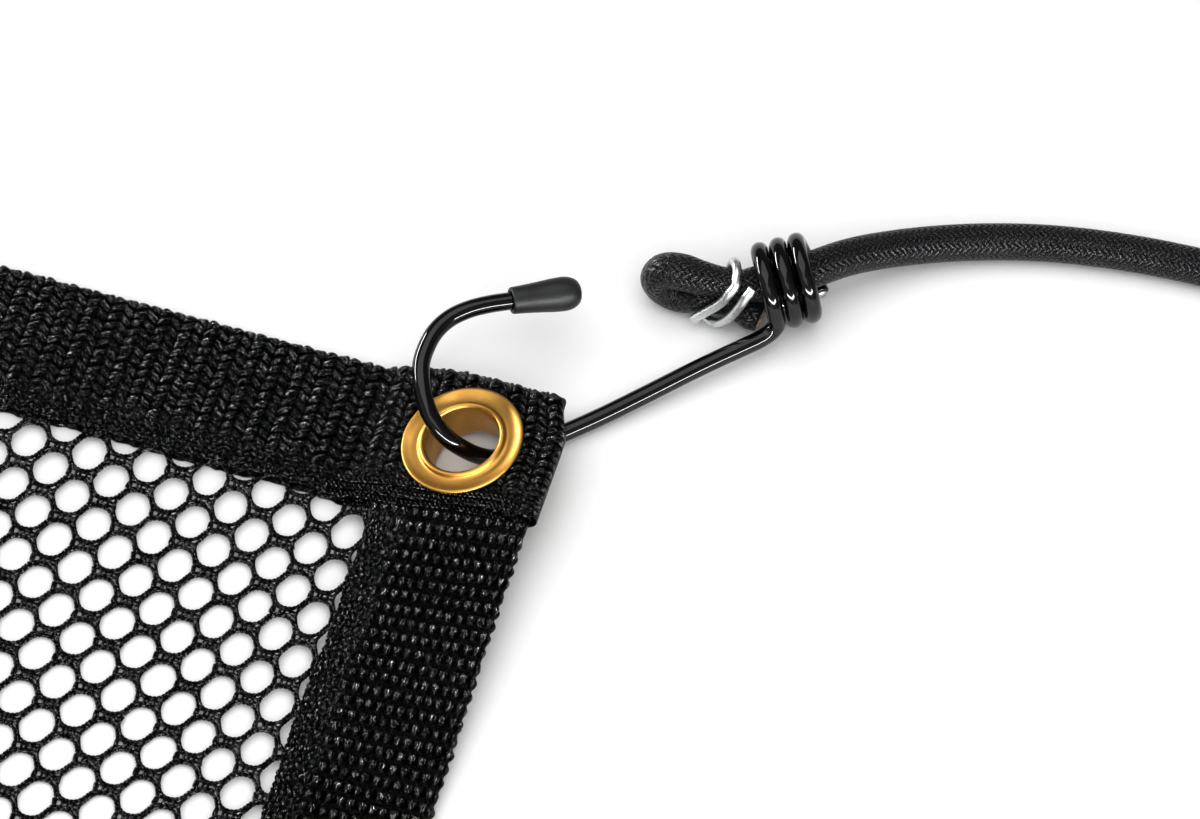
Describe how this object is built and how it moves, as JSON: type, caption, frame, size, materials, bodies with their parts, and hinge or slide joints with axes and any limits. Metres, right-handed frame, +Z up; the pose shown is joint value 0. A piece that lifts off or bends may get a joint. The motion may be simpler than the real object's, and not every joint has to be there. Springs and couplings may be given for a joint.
{
  "type": "car dog barrier net",
  "caption": "Knitted mesh net with a folded webbing border, brass corner eyelets and a bungee cord with wire hooks that clip into the eyelets.",
  "frame": {"origin": "on the resting surface, under the middle of the net", "axes": "+X along the net's long edges towards the hooked corner, +Z up out of the net as it lies flat"},
  "size_m": [1.2442, 0.7296, 0.0214],
  "materials": {
    "mesh": "knitted polyester mesh",
    "webbing": "ribbed polypropylene webbing",
    "eyelet": "polished brass plate",
    "hook_wire": "glossy black plastic over steel wire",
    "hook_cap": "matt black rubber",
    "clip": "bright zinc-plated steel wire",
    "bungee": "braided polyester over rubber"
  },
  "bodies": {
    "root": {"mesh_panel": "mesh", "back_binding": "webbing", "front_binding": "webbing", "left_binding": "webbing", "right_binding": "webbing", "eyelet_back_right": "eyelet", "eyelet_back_left": "eyelet", "eyelet_front_left": "eyelet", "eyelet_front_right": "eyelet", "washer_back_right": "eyelet", "washer_back_left": "eyelet", "washer_front_left": "eyelet", "washer_front_right": "eyelet", "hook_near": "hook_wire", "hook_far": "hook_wire", "hook_cap_near": "hook_cap", "hook_cap_far": "hook_cap", "cord_clip_near": "clip", "cord_clip_far": "clip", "cord_fold_near": "bungee", "cord_fold_far": "bungee", "cord_arch": "bungee", "cord_return": "bungee", "cord_ring": "bungee"}
  },
  "joints": []
}
